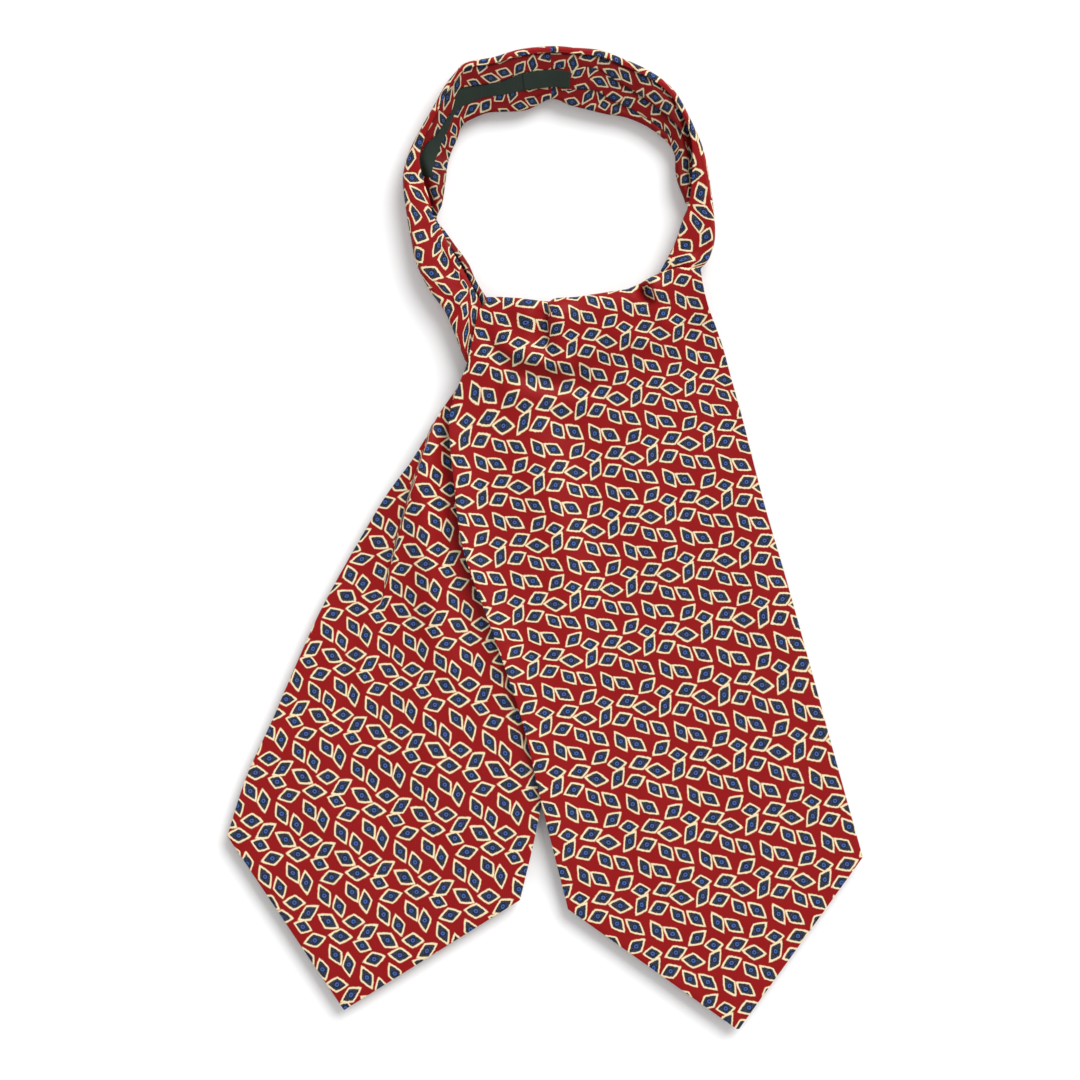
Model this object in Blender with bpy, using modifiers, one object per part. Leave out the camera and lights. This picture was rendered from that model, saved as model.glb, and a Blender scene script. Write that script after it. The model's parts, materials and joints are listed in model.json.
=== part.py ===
"""Silk day cravat, lying flat and loosely tied.

The cravat is one long strip: a pointed blade at each end and a pleated band between them, folded
flat like a tube. The left end of the band crosses beneath to the right, comes up behind and falls
forward as the front blade. The right end passes beneath to the left and becomes the rear blade.

The model lies on z = 0 in metres. +X is to the right and +Y runs from the blades' points to the
back of the neck. The origin is below the middle of the whole outline. All tables are in
millimetres in the same frame.
"""
import math
from collections import namedtuple

import bmesh
import bpy
from mathutils import Vector

MM = 0.001

# Walls: a blade is two layers of silk with light interlining, the band's layers are one each.
BLADE_WALL = 1.6
BAND_WALL = 1.2
TAPE_WALL = 0.8

# Clear space on each side of the centre-back seam, between two rows of the band's table that far
# apart, and clear space between cloth and the cloth that it lies on.
SEAM_GAP = 0.55
SEAM_ROWS_APART = 17.0
LAP_GAP = 0.68

# The outer layer of the band in section, as steps in from the rim and up from the layer below or
# down from the top: its bend off the surface, its crest, and the end of its lap, open or closed.
RIM_BEND = [(3.0, 0.0), (1.3, 0.35), (0.6, 1.6)]
RIM_CREST = [(0.6, -1.6), (1.2, -0.4)]
LAP_END_OPEN = [(0.3, -0.5), (0.35, -0.8)]
LAP_END_CLOSED = [(1.2, -0.9), (1.55, -2.8)]
LAP_MARGIN = 1.8
FOOT_MARGIN_OPEN = 4.1
FOOT_MARGIN_CLOSED = 2.1
CREST_CURVE = 1.4

# The inner face in section: where it starts and bends, how wide a pleat's step is, and its way
# down round the neck side to the surface, as steps in from the neck side.
INNER_START = 2.4
INNER_BEND = 2.2
PLEAT_STEP = 0.03
PLEAT_BEFORE_BEND = 1.6
PLEAT_MIDDLE = 0.5
NECK_BEND = [(1.1, -0.5), (0.6, -1.5)]
NECK_FOOT = [(0.6, 1.0), (1.4, 0.1), (3.3, 0.0)]
# From this share of the width on, a pleat's step closes up to its least part at the neck side.
STEP_CLOSES_FROM = 0.85
LEAST_STEP = 0.4
TAPE_INSET = 0.06

# The top edge of the front blade is a soft roll, and a tight one where the band passes below it.
# Its back wall goes inward from the crest and rises above the surface.
ROLL_RADIUS = 3.4
ROLL_BACK = [(5.5, 0.0), (2.2, 0.0), (0.6, 1.4), (0.0, 4.0)]
ROLL_TURNS = (0, 30, 60, 90)
ROLL_SLANT = 0.1
TIGHT_ROLL_RADIUS = 0.9
TIGHT_ROLL_DROP = 0.5
TIGHT_ROLL_SHIFT = 0.4

# How finely the tables are read.
BAND_STEPS = 1.5
BLADE_STEPS = 2
BLADE_COLUMNS = 16
TIP_ROWS = 5

SILK_RED = (0.33, 0.016, 0.018, 1.0)
SILK_RED_REAR = (0.28, 0.014, 0.016, 1.0)
TAPE_GREEN = (0.022, 0.032, 0.022, 1.0)
SILK_ROUGHNESS = 0.5
TAPE_ROUGHNESS = 0.7

# The band, from its left end below the front blade, round the back of the neck, to its right end.
# rim: the outer rim. hole: the neck side. lap: how far the outer layer folds over the inner face.
# crest and lip: the height of the top at the rim and at the neck side. fold_a and fold_b: where a
# pleat's edge runs on the inner face, as a share of the width from the rim, and step_a and
# step_b: how far the cloth drops there. tape_a and tape_b: the borders of the woven labels.
Band = namedtuple(
    "Band",
    "rim_x rim_y hole_x hole_y lap crest lip fold_a step_a fold_b step_b tape_a tape_b",
)
BAND = [
    Band(-43.0, 95.5, -26.0, 123.5, 25.0, 6.6, 5.6, 0.50, 0.0, 0.80, 0.0, 0.40, 0.60),
    Band(-46.0, 103.0, -29.0, 128.5, 23.5, 7.0, 5.8, 0.50, 0.0, 0.80, 0.0, 0.40, 0.60),
    Band(-49.5, 112.0, -33.5, 134.5, 22.5, 7.2, 6.0, 0.50, 0.0, 0.80, 0.0, 0.40, 0.60),
    Band(-55.0, 124.5, -38.0, 142.0, 20.0, 7.6, 6.2, 0.50, 0.0, 0.80, 0.0, 0.40, 0.60),
    Band(-63.5, 136.5, -42.5, 152.0, 21.0, 8.0, 6.4, 0.50, 0.0, 0.80, 0.0, 0.40, 0.60),
    Band(-70.5, 150.5, -48.5, 160.0, 20.0, 8.4, 6.6, 0.50, 0.0, 0.80, 0.0, 0.40, 0.60),
    Band(-73.5, 164.0, -54.5, 168.5, 17.0, 8.6, 6.8, 0.50, 0.0, 0.80, 0.0, 0.40, 0.60),
    Band(-76.0, 178.0, -59.5, 175.5, 14.5, 8.6, 6.8, 0.50, 0.0, 0.80, 0.0, 0.40, 0.60),
    Band(-77.5, 189.0, -56.5, 183.5, 14.0, 8.8, 6.6, 0.62, 0.2, 0.80, 0.0, 0.40, 0.60),
    Band(-78.0, 199.5, -55.0, 193.0, 11.0, 8.8, 6.9, 0.46, 0.8, 0.82, 0.0, 0.46, 0.66),
    Band(-75.5, 210.0, -54.0, 201.5, 8.5, 8.8, 7.2, 0.44, 1.1, 0.84, 0.0, 0.44, 0.66),
    Band(-71.5, 219.0, -53.0, 207.5, 5.0, 8.8, 7.2, 0.36, 1.2, 0.84, 0.0, 0.36, 0.64),
    Band(-66.0, 229.0, -51.0, 213.5, 3.6, 9.0, 7.2, 0.38, 1.2, 0.84, 0.0, 0.38, 0.62),
    Band(-60.5, 238.5, -48.5, 219.0, 3.2, 9.0, 7.2, 0.33, 1.2, 0.84, 0.0, 0.33, 0.58),
    Band(-55.0, 248.5, -47.0, 223.5, 3.0, 9.0, 7.2, 0.32, 1.2, 0.84, 0.0, 0.32, 0.60),
    Band(-49.5, 255.5, -44.5, 228.0, 3.0, 9.2, 7.2, 0.34, 1.2, 0.86, 0.0, 0.34, 0.68),
    Band(-45.0, 260.5, -38.0, 231.5, 3.0, 9.2, 7.2, 0.42, 1.1, 0.86, 0.0, 0.42, 0.72),
    Band(-38.5, 262.5, -31.0, 234.0, 3.0, 9.2, 7.2, 0.46, 0.9, 0.86, 0.0, 0.46, 0.71),
    Band(-27.5, 264.5, -22.0, 234.5, 3.0, 9.2, 7.2, 0.45, 0.7, 0.86, 0.0, 0.45, 0.70),
    Band(-14.0, 268.5, -10.0, 235.5, 3.0, 9.2, 7.2, 0.40, 0.6, 0.86, 0.0, 0.40, 0.68),
    Band(3.0, 270.3, 3.5, 241.5, 3.0, 9.2, 7.2, 0.46, 0.4, 0.86, 0.0, 0.48, 0.74),
    Band(16.5, 269.5, 14.0, 238.0, 3.0, 9.2, 7.4, 0.33, 0.0, 0.62, 0.6, 0.45, 0.62),
    Band(30.5, 268.0, 26.0, 235.0, 3.0, 9.2, 7.8, 0.31, 0.4, 0.66, 0.9, 0.40, 0.60),
    Band(42.5, 263.5, 34.5, 233.0, 3.0, 9.2, 8.0, 0.40, 0.9, 0.74, 1.0, 0.40, 0.60),
    Band(54.0, 258.5, 44.0, 231.5, 3.0, 9.2, 8.2, 0.48, 1.2, 0.80, 0.9, 0.40, 0.60),
    Band(64.5, 252.0, 55.0, 227.0, 3.0, 9.2, 8.4, 0.54, 1.4, 0.85, 0.7, 0.40, 0.60),
    Band(72.0, 244.5, 63.5, 221.0, 3.0, 9.0, 8.4, 0.53, 1.6, 0.86, 0.5, 0.40, 0.60),
    Band(78.0, 234.0, 69.0, 215.5, 3.2, 9.0, 8.2, 0.46, 1.6, 0.84, 0.3, 0.40, 0.60),
    Band(83.0, 223.5, 71.5, 209.5, 4.0, 8.8, 7.9, 0.44, 1.4, 0.80, 0.1, 0.40, 0.60),
    Band(86.5, 215.0, 71.5, 202.5, 6.5, 8.8, 7.4, 0.46, 0.9, 0.80, 0.0, 0.40, 0.60),
    Band(89.5, 202.5, 73.0, 195.0, 9.0, 8.6, 6.9, 0.58, 0.4, 0.80, 0.0, 0.40, 0.60),
    Band(92.0, 186.0, 77.0, 184.0, 12.4, 8.6, 6.4, 0.60, 0.0, 0.80, 0.0, 0.40, 0.60),
    Band(93.0, 176.0, 76.0, 177.0, 17.0, 8.4, 6.4, 0.60, 0.0, 0.80, 0.0, 0.40, 0.60),
    Band(93.5, 169.5, 73.5, 168.5, 20.0, 8.2, 6.2, 0.60, 0.0, 0.80, 0.0, 0.40, 0.60),
    Band(93.0, 162.5, 71.0, 161.5, 22.0, 7.8, 6.0, 0.60, 0.0, 0.80, 0.0, 0.40, 0.60),
    Band(90.0, 153.5, 67.5, 154.5, 22.5, 7.4, 5.8, 0.60, 0.0, 0.80, 0.0, 0.40, 0.60),
    Band(85.0, 147.5, 63.0, 146.0, 22.0, 7.0, 5.6, 0.60, 0.0, 0.80, 0.0, 0.40, 0.60),
    Band(81.5, 141.0, 59.0, 137.0, 22.9, 6.6, 5.2, 0.60, 0.0, 0.80, 0.0, 0.40, 0.60),
]
CENTRE_BACK = 20
INNER_RIGHT_END = 31
OUTER_CLOSED_FROM = 32.4
NAME_TAPE = (9.6, 19.0)
FIBRE_TAPE = (19.05, 20.9)

# A blade, from its top to the line between its corners. left and right: the edges. left_z,
# middle_z and right_z: heights of the wall's middle. over: the share of the width, from the left,
# that rides over what lies beneath. dip: how much of the top edge's sag is left.
Blade = namedtuple("Blade", "left_x left_y right_x right_y left_z middle_z right_z over dip")
FLAT = BLADE_WALL / 2
FRONT = [
    Blade(-31.9, 131.7, 85.3, 147.7, 9.4, 12.4, 9.4, 0.10, 1.00),
    Blade(-36.3, 124.6, 87.0, 141.0, 9.4, 12.8, 9.2, 0.10, 0.85),
    Blade(-39.6, 110.3, 90.1, 128.0, 9.2, 11.6, 6.4, 0.15, 0.50),
    Blade(-42.9, 95.4, 94.8, 115.0, 9.0, 9.2, 3.0, 0.20, 0.20),
    Blade(-47.3, 84.4, 97.8, 105.0, 7.0, 5.4, 1.4, 0.22, 0.05),
    Blade(-52.3, 69.0, 101.6, 91.0, 5.4, 3.0, FLAT, 0.25, 0.00),
    Blade(-52.3, 54.7, 105.2, 78.0, 4.4, 1.6, FLAT, 0.28, 0.00),
    Blade(-50.6, 36.6, 109.7, 61.5, 3.6, FLAT, FLAT, 0.31, 0.00),
    Blade(-45.1, -5.2, 119.9, 21.2, 3.1, FLAT, FLAT, 0.31, 0.00),
    Blade(-30.3, -47.6, 131.9, -20.0, 3.1, FLAT, FLAT, 0.25, 0.00),
    Blade(-13.2, -98.2, 145.8, -70.0, 3.0, FLAT, FLAT, 0.14, 0.00),
    Blade(-1.7, -146.6, 158.8, -118.0, 2.9, FLAT, FLAT, 0.03, 0.00),
    Blade(12.7, -203.8, 174.7, -175.2, FLAT, FLAT, FLAT, 0.00, 0.00),
]
FRONT_TIP = (106.2, -270.3)
REAR = [
    Blade(-43.6, 91.5, -14.5, 102.8, 3.8, 4.2, 3.4, 0.0, 0.0),
    Blade(-47.3, 84.0, -12.0, 86.0, 3.2, 3.8, 3.0, 0.0, 0.0),
    Blade(-57.0, 70.0, -7.0, 62.0, 2.2, 2.4, 1.8, 0.0, 0.0),
    Blade(-72.5, 43.5, -1.0, 30.0, 1.3, 1.3, 0.9, 0.0, 0.0),
    Blade(-90.5, 18.5, 4.0, -4.0, FLAT, FLAT, FLAT, 0.0, 0.0),
    Blade(-120.5, -34.0, 8.0, -62.0, FLAT, FLAT, FLAT, 0.0, 0.0),
    Blade(-138.0, -72.0, 5.5, -103.0, FLAT, FLAT, FLAT, 0.0, 0.0),
    Blade(-150.0, -100.0, 0.5, -132.0, FLAT, FLAT, FLAT, 0.0, 0.0),
    Blade(-164.0, -130.5, -5.5, -164.0, FLAT, FLAT, FLAT, 0.0, 0.0),
    Blade(-174.7, -163.5, -13.8, -198.8, FLAT, FLAT, FLAT, 0.0, 0.0),
]
REAR_TIP = (-110.5, -259.3)
# The shares of the width over which a blade comes down off what it rides over, and falls to its
# right edge.
OVER_FALL = 0.14
RIGHT_FALL_FROM = 0.45
RIGHT_FALL = 0.5

# An amount at a share of the width, from the left.
Amount = namedtuple("Amount", "share amount")
# How far the front blade's top edge sags below a straight line.
TOP_SAG = [
    Amount(0.00, 0.0), Amount(0.14, 2.6), Amount(0.30, 6.6), Amount(0.42, 6.8),
    Amount(0.58, 6.2), Amount(0.68, 3.8), Amount(0.78, 0.6), Amount(0.90, -0.4),
    Amount(1.00, 0.0),
]
# How much of the roll's back wall is left open where the band's ends pass below it.
ROLL_OPENING = [
    Amount(0.00, 1.0), Amount(0.10, 0.6), Amount(0.18, 0.0), Amount(0.70, 0.0),
    Amount(0.80, 1.0), Amount(1.00, 1.0),
]

# Largest folds: soft ridges, or troughs where the height is negative, from one point to another.
Fold = namedtuple("Fold", "x1 y1 x2 y2 width height")
FRONT_FOLDS = [
    Fold(4.0, 126.0, 4.0, 106.0, 4.0, -2.4),
    Fold(-13.0, 118.0, 6.0, 95.0, 4.5, -1.4),
    Fold(-24.0, 104.0, -6.0, 90.0, 5.0, -1.2),
    Fold(-4.0, 89.0, 26.0, 85.0, 5.0, -1.2),
    Fold(54.0, 132.0, 62.0, 122.0, 4.0, -1.6),
    Fold(40.0, 120.0, 78.0, 108.0, 6.0, 1.0),
]
REAR_FOLDS = [
    Fold(-58.0, 62.0, -86.0, -10.0, 3.5, 1.3),
    Fold(-108.0, -42.0, -104.0, -98.0, 6.0, 0.8),
]

# Layers hidden beneath the top of the front blade: one rounded solid, in sections from the left.
Lump = namedtuple("Lump", "x low_y high_y height")
CROSSING = [
    Lump(-29.0, 106.5, 112.0, 3.6),
    Lump(-22.0, 104.5, 116.0, 5.6),
    Lump(-10.0, 103.4, 119.0, 6.8),
    Lump(3.0, 102.0, 120.0, 7.6),
    Lump(20.0, 104.0, 122.5, 8.0),
    Lump(36.0, 108.0, 125.5, 7.6),
    Lump(50.0, 115.0, 129.0, 6.4),
    Lump(62.0, 124.0, 133.5, 5.0),
    Lump(69.0, 130.0, 135.5, 3.6),
]
LUMP_SIDES = 8
LUMP_CURVE = 0.7


def clear_scene():
    for thing in list(bpy.data.objects):
        bpy.data.objects.remove(thing)


def new_material(name, colour, roughness):
    material = bpy.data.materials.new(name)
    material.use_nodes = True
    shader = material.node_tree.nodes["Principled BSDF"]
    shader.inputs["Base Color"].default_value = colour
    shader.inputs["Roughness"].default_value = roughness
    shader.inputs["Metallic"].default_value = 0.0
    return material


def curve_through(a, b, c, d, t):
    """One value on the smooth curve from b to c, with a before them and d after."""
    square = (2 * a - 5 * b + 4 * c - d) * t ** 2
    cube = (3 * b - a - 3 * c + d) * t ** 3
    return 0.5 * (2 * b + (c - a) * t + square + cube)


def table_row(rows, place):
    """The row of a table at a place between two of its rows."""
    first = min(int(place), len(rows) - 2)
    near = [rows[min(max(first + k, 0), len(rows) - 1)] for k in (-1, 0, 1, 2)]
    values = [curve_through(*column, place - first) for column in zip(*near)]
    return type(rows[0])(*values)


def places(first, last, steps):
    """Places from first to last, with that many to a row."""
    count = max(1, round((last - first) * steps))
    return [first + (last - first) * k / count for k in range(count + 1)]


def soft_step(value):
    """A smooth rise from 0 to 1."""
    value = min(max(value, 0.0), 1.0)
    return value * value * (3 - 2 * value)


def along(table, share):
    """The amount at a share of the width, read from a table of amounts."""
    for low, high in zip(table, table[1:]):
        if share <= high.share:
            t = (share - low.share) / (high.share - low.share)
            return low.amount + (high.amount - low.amount) * soft_step(t)
    return table[-1].amount


def fold_height(folds, x, y):
    """What the folds add to the height of the cloth at a point."""
    total = 0.0
    for fold in folds:
        run_x = fold.x2 - fold.x1
        run_y = fold.y2 - fold.y1
        t = ((x - fold.x1) * run_x + (y - fold.y1) * run_y) / (run_x ** 2 + run_y ** 2)
        t = min(max(t, 0.0), 1.0)
        gap = math.hypot(x - fold.x1 - run_x * t, y - fold.y1 - run_y * t)
        total += fold.height * math.exp(-(gap / fold.width) ** 2) * (1 - (2 * t - 1) ** 4)
    return total


def cloth_wall(name, sections, wall, material, collection):
    """A wall of cloth lofted through sections of points on its middle, in millimetres."""
    mesh = bpy.data.meshes.new(name)
    shape = bmesh.new()
    grid = [[shape.verts.new(Vector(point) * MM) for point in section] for section in sections]
    for near, far in zip(grid, grid[1:]):
        for k in range(len(near) - 1):
            shape.faces.new((near[k], near[k + 1], far[k + 1], far[k]))
    bmesh.ops.remove_doubles(shape, verts=shape.verts, dist=0.01 * MM)
    shape.to_mesh(mesh)
    shape.free()
    mesh.materials.append(material)
    thing = bpy.data.objects.new(name, mesh)
    collection.objects.link(thing)
    solid = thing.modifiers.new("wall", "SOLIDIFY")
    solid.thickness = wall * MM
    solid.offset = 0.0
    solid.use_even_offset = True
    return thing


class BandSection:
    """One section of the band, measured across from its outer rim."""

    def __init__(self, place):
        self.row = table_row(BAND, place)
        self.rim = Vector((self.row.rim_x, self.row.rim_y))
        self.hole = Vector((self.row.hole_x, self.row.hole_y))
        self.width = (self.hole - self.rim).length
        self.across = (self.hole - self.rim) / self.width

    def at(self, across, height):
        spot = self.rim + self.across * across
        return (spot.x, spot.y, height)

    def top(self, across):
        """Height of the middle of the outer layer's wall where it lies on top."""
        share = min(across / self.width, 1.0)
        fall = (self.row.crest - self.row.lip) * share ** CREST_CURVE
        return self.row.crest - fall - BAND_WALL / 2

    def inner_top(self, across):
        """Height of the middle of the inner face's wall, with its pleats."""
        share = across / self.width
        drop = self.row.step_a * soft_step((share - self.row.fold_a) / PLEAT_STEP)
        drop += self.row.step_b * soft_step((share - self.row.fold_b) / PLEAT_STEP)
        closing = soft_step((share - STEP_CLOSES_FROM) / (1 - STEP_CLOSES_FROM))
        drop *= 1 - (1 - LEAST_STEP) * closing
        return self.top(across) - BAND_WALL - LAP_GAP - drop


def outer_points(place):
    """The outer layer: along the surface below, round the rim and over to the end of the lap."""
    part = BandSection(place)
    low = BAND_WALL / 2
    closed = soft_step(place - (OUTER_CLOSED_FROM - 1))
    foot = part.width - FOOT_MARGIN_OPEN + (FOOT_MARGIN_OPEN - FOOT_MARGIN_CLOSED) * closed
    points = [part.at(foot, low), part.at((foot + RIM_BEND[0][0]) / 2, low)]
    points += [part.at(across, low + rise) for across, rise in RIM_BEND]
    points += [part.at(across, part.top(0) + rise) for across, rise in RIM_CREST]
    crest = RIM_CREST[-1][0]
    lap = min(part.row.lap, part.width - LAP_MARGIN)
    for k in range(1, 5):
        across = crest + (lap - crest) * k / 4
        points.append(part.at(across, part.top(across)))
    for (open_on, open_up), (closed_on, closed_up) in zip(LAP_END_OPEN, LAP_END_CLOSED):
        on = open_on + (closed_on - open_on) * closed
        up = open_up + (closed_up - open_up) * closed
        points.append(part.at(lap + on, part.top(lap) + up))
    return points


def inner_points(place):
    """The inner face: from below the lap, over its pleats, and down round the neck side."""
    part = BandSection(place)
    low = BAND_WALL / 2
    bend = part.width - INNER_BEND
    step = PLEAT_STEP * part.width
    fold_a = part.row.fold_a * part.width
    fold_b = min(part.row.fold_b * part.width, bend - PLEAT_BEFORE_BEND)
    stops = [INNER_START, (INNER_START + fold_a) / 2, fold_a, fold_a + step]
    stops += [(fold_a + fold_b) / 2 + PLEAT_MIDDLE, fold_b, fold_b + step, bend]
    points = [part.at(across, part.inner_top(across)) for across in stops]
    lip = part.inner_top(bend)
    points += [part.at(part.width - inward, lip + rise) for inward, rise in NECK_BEND]
    points += [part.at(part.width - inward, low + rise) for inward, rise in NECK_FOOT]
    return points


def tape_points(place):
    """A woven label: the inner face between its borders, moved out."""
    part = BandSection(place)
    raised = BAND_WALL / 2 + LAP_GAP + TAPE_WALL / 2
    low = part.row.tape_a + TAPE_INSET
    high = part.row.tape_b
    points = []
    for k in range(4):
        across = (low + (high - low) * k / 3) * part.width
        points.append(part.at(across, part.inner_top(across) + raised))
    return points


def blade_point(row, share, folds):
    """A point on the middle of a blade's wall."""
    x = row.left_x + (row.right_x - row.left_x) * share
    y = row.left_y + (row.right_y - row.left_y) * share
    y -= along(TOP_SAG, share) * row.dip
    fall = soft_step((share - RIGHT_FALL_FROM) / RIGHT_FALL)
    free = row.middle_z + (row.right_z - row.middle_z) * fall
    z = row.left_z + (free - row.left_z) * soft_step((share - row.over) / OVER_FALL)
    return Vector((x, y, max(z + fold_height(folds, x, y), FLAT)))


def shares():
    """The shares of the width at which a blade's columns stand."""
    return [k / (BLADE_COLUMNS - 1) for k in range(BLADE_COLUMNS)]


def blade_sections(rows, tip, folds):
    """Sections of a blade, from its top edge to its point."""
    sections = []
    for place in places(0, len(rows) - 1, BLADE_STEPS):
        row = table_row(rows, place)
        sections.append([blade_point(row, share, folds) for share in shares()])
    corners = sections[-1]
    point = Vector((*tip, FLAT))
    for k in range(1, TIP_ROWS + 1):
        sections.append([corner.lerp(point, k / TIP_ROWS) for corner in corners])
    return sections


def roll_sections():
    """The back of the front blade's top edge, from below up and over the crest of its roll."""
    top = table_row(FRONT, 0)
    crest = [(share, blade_point(top, share, FRONT_FOLDS)) for share in shares()]
    sections = []
    for number, (inward, rise) in enumerate(ROLL_BACK):
        section = []
        for share, spot in crest:
            opened = along(ROLL_OPENING, share)
            below = 1 - number / len(ROLL_BACK)
            open_z = spot.z - TIGHT_ROLL_RADIUS - TIGHT_ROLL_DROP * below
            z = FLAT + rise + (open_z - FLAT - rise) * opened
            shift = inward + (TIGHT_ROLL_SHIFT * below - inward) * opened
            section.append(Vector((spot.x + ROLL_SLANT * shift, spot.y - shift, z)))
        sections.append(section)
    for angle in ROLL_TURNS:
        turn = math.radians(angle)
        section = []
        for share, spot in crest:
            radius = ROLL_RADIUS + (TIGHT_ROLL_RADIUS - ROLL_RADIUS) * along(ROLL_OPENING, share)
            inward = radius * (1 - math.cos(turn))
            section.append(spot + Vector((0, -inward, -radius * (1 - math.sin(turn)))))
        sections.append(section)
    return sections


def crossing_solid(collection, material):
    """The hidden layers, as one rounded solid with a flat underside."""
    mesh = bpy.data.meshes.new("crossing")
    shape = bmesh.new()
    rings = []
    for place in places(0, len(CROSSING) - 1, 2):
        row = table_row(CROSSING, place)
        middle = (row.low_y + row.high_y) / 2
        half = (row.high_y - row.low_y) / 2
        ring = []
        for k in range(LUMP_SIDES + 1):
            turn = math.pi * k / LUMP_SIDES
            height = row.height * math.sin(turn) ** LUMP_CURVE if 0 < k < LUMP_SIDES else 0.0
            spot = Vector((row.x, middle + half * math.cos(turn), height))
            ring.append(shape.verts.new(spot * MM))
        rings.append(ring)
    for near, far in zip(rings, rings[1:]):
        for k in range(len(near)):
            after = (k + 1) % len(near)
            shape.faces.new((near[k], near[after], far[after], far[k]))
    shape.faces.new(rings[0])
    shape.faces.new(rings[-1])
    bmesh.ops.recalc_face_normals(shape, faces=shape.faces)
    shape.to_mesh(mesh)
    shape.free()
    mesh.materials.append(material)
    thing = bpy.data.objects.new("crossing", mesh)
    collection.objects.link(thing)
    return thing


def build():
    """All nodes of the cravat."""
    clear_scene()
    collection = bpy.data.collections.new("silk_cravat")
    bpy.context.scene.collection.children.link(collection)
    silk = new_material("silk_front", SILK_RED, SILK_ROUGHNESS)
    silk_rear = new_material("silk_rear", SILK_RED_REAR, SILK_ROUGHNESS)
    tape = new_material("tape", TAPE_GREEN, TAPE_ROUGHNESS)

    last = len(BAND) - 1
    seam = SEAM_GAP / SEAM_ROWS_APART
    stretches = [
        ("neckband_outer_left", outer_points, 0, CENTRE_BACK - seam),
        ("neckband_outer_right", outer_points, CENTRE_BACK + seam, last),
        ("neckband_inner_left", inner_points, 0, CENTRE_BACK - seam),
        ("neckband_inner_right", inner_points, CENTRE_BACK + seam, INNER_RIGHT_END),
    ]
    for name, points, first, end in stretches:
        sections = [points(place) for place in places(first, end, BAND_STEPS)]
        cloth_wall(name, sections, BAND_WALL, silk, collection)

    for name, (first, end) in (("label_name", NAME_TAPE), ("label_fibre", FIBRE_TAPE)):
        sections = [tape_points(place) for place in places(first, end, BAND_STEPS)]
        cloth_wall(name, sections, TAPE_WALL, tape, collection)

    front = roll_sections() + blade_sections(FRONT, FRONT_TIP, FRONT_FOLDS)[BLADE_STEPS:]
    cloth_wall("front_blade", front, BLADE_WALL, silk, collection)
    rear = blade_sections(REAR, REAR_TIP, REAR_FOLDS)
    cloth_wall("rear_blade", rear, BLADE_WALL, silk_rear, collection)
    crossing_solid(collection, silk_rear)


build()
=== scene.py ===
"""Looks of the silk cravat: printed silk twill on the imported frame, lying on a pale floor.

Tables are in millimetres in the frame's axes: +X to the right, +Y to the back of the neck, +Z up.
Each piece is one curved sheet of cloth. Creases are placed in the frame, and the print and the
weave are worked out from the piece's own flat cloth coordinates.
"""
import json
import math
from collections import namedtuple
from functools import reduce

import bpy
import numpy as np
from bpy.props import FloatProperty, FloatVectorProperty, PointerProperty
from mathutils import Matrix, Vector

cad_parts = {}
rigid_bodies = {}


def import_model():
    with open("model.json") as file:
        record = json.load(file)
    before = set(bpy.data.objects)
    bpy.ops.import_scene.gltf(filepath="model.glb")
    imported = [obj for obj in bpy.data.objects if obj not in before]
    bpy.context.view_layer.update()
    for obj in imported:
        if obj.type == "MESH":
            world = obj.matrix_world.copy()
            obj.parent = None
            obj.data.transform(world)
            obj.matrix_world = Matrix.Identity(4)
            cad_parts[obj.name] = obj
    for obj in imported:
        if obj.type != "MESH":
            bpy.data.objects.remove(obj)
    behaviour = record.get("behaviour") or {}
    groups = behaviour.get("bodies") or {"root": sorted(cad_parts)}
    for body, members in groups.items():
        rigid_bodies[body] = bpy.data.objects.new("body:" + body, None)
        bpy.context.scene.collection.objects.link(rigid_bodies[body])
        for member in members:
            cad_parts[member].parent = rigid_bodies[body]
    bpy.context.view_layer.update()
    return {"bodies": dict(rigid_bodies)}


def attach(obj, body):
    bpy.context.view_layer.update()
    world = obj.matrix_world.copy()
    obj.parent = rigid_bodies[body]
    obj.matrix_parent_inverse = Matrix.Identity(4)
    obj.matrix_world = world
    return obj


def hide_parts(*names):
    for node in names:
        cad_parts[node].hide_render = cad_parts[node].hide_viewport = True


bl_info = {
    "name": "Silk Cravat",
    "version": (1, 0, 0),
    "blender": (4, 5, 0),
    "location": "3D View > Sidebar > Cravat",
    "description": "Printed silk cravat with pleated neckband, laid flat and loosely tied",
    "category": "Object",
}

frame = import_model()
BODY, = frame["bodies"]
MM = 0.001

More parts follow.
